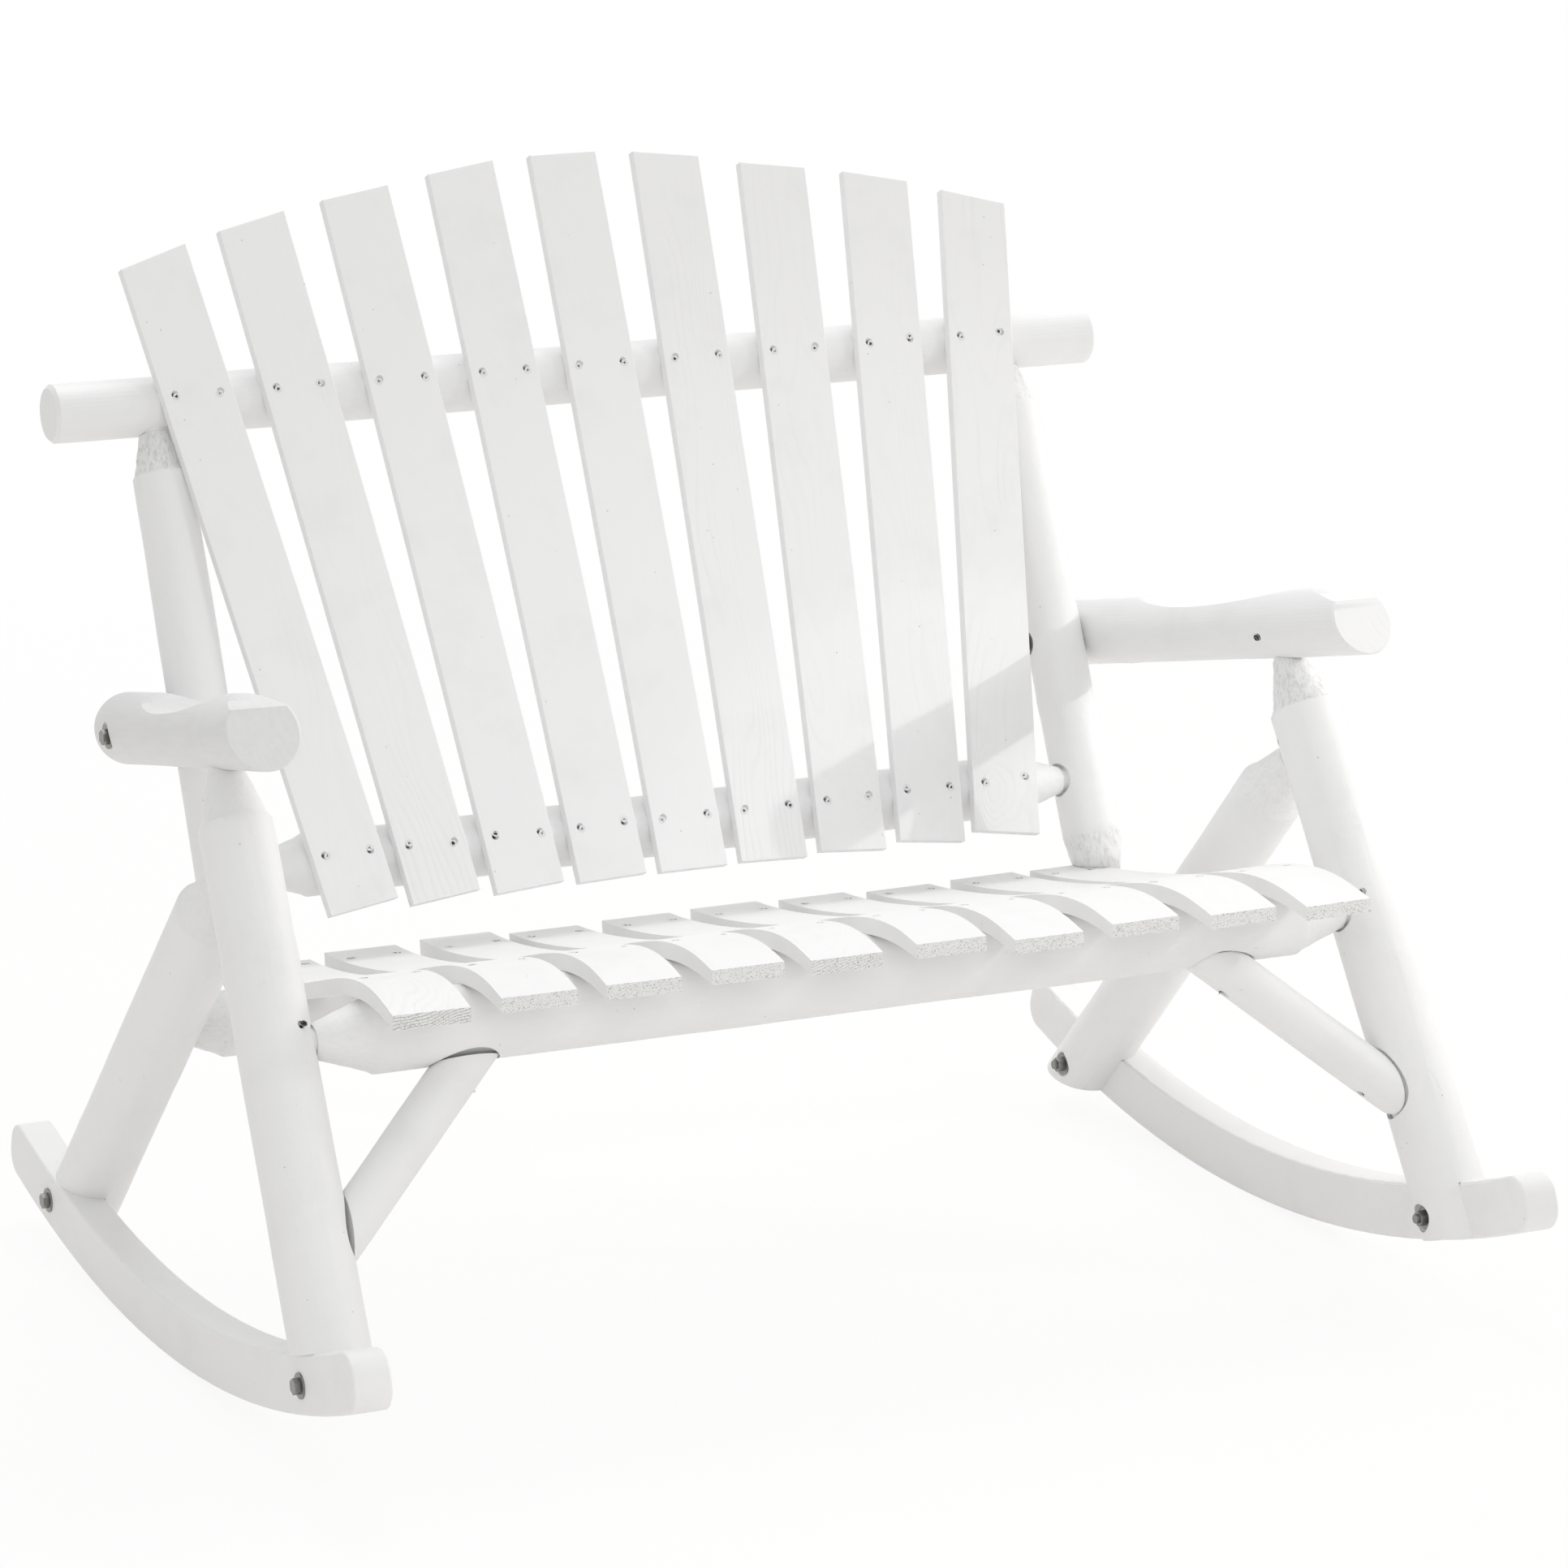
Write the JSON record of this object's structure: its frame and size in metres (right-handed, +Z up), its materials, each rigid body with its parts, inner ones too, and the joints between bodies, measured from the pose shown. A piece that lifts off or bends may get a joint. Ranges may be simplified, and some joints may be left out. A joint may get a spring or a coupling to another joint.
{
  "type": "log rocking bench",
  "caption": "Two-seat rocking bench of white painted logs and boards, with a fanned slatted back, an S-curved slat seat, log armrests and a pair of arc rockers.",
  "frame": {"origin": "middle of the base of the bounding box, on the floor under the rocking bench at rest", "axes": "+X along the bench to the right of someone who looks at its front, +Y from the front edge of the seat towards the back, +Z up"},
  "size_m": [1.294, 1.0374, 1.1023],
  "materials": {
    "painted_log": "satin white paint on peeled logs",
    "painted_plank": "satin white paint on sawn plank",
    "painted_slat": "satin white paint on planed boards",
    "zinc_hardware": "zinc plated",
    "dark_screw": "painted over, recessed"
  },
  "bodies": {
    "root": {"rocker_left": "painted_plank", "front_leg_left": "painted_log", "rear_leg_left": "painted_log", "armrest_left": "painted_log", "back_post_left": "painted_log", "corner_brace_left": "painted_log", "rocker_right": "painted_plank", "front_leg_right": "painted_log", "rear_leg_right": "painted_log", "armrest_right": "painted_log", "back_post_right": "painted_log", "corner_brace_right": "painted_log", "top_rail": "painted_log", "lower_back_rail": "painted_log", "front_seat_rail": "painted_log", "rear_seat_rail": "painted_log", "back_slat_1": "painted_slat", "back_slat_2": "painted_slat", "back_slat_3": "painted_slat", "back_slat_4": "painted_slat", "back_slat_5": "painted_slat", "back_slat_6": "painted_slat", "back_slat_7": "painted_slat", "back_slat_8": "painted_slat", "back_slat_9": "painted_slat", "seat_slat_1": "painted_slat", "seat_slat_2": "painted_slat", "seat_slat_3": "painted_slat", "seat_slat_4": "painted_slat", "seat_slat_5": "painted_slat", "seat_slat_6": "painted_slat", "seat_slat_7": "painted_slat", "seat_slat_8": "painted_slat", "seat_slat_9": "painted_slat", "seat_slat_10": "painted_slat", "back_slat_screws": "dark_screw", "seat_slat_screws": "dark_screw", "joint_screws": "dark_screw", "brace_screws": "dark_screw", "rocker_bolts": "zinc_hardware", "rocker_washers": "zinc_hardware", "rocker_nuts": "zinc_hardware", "armrest_bolts": "zinc_hardware", "armrest_washers": "zinc_hardware", "armrest_nuts": "zinc_hardware"}
  },
  "joints": []
}
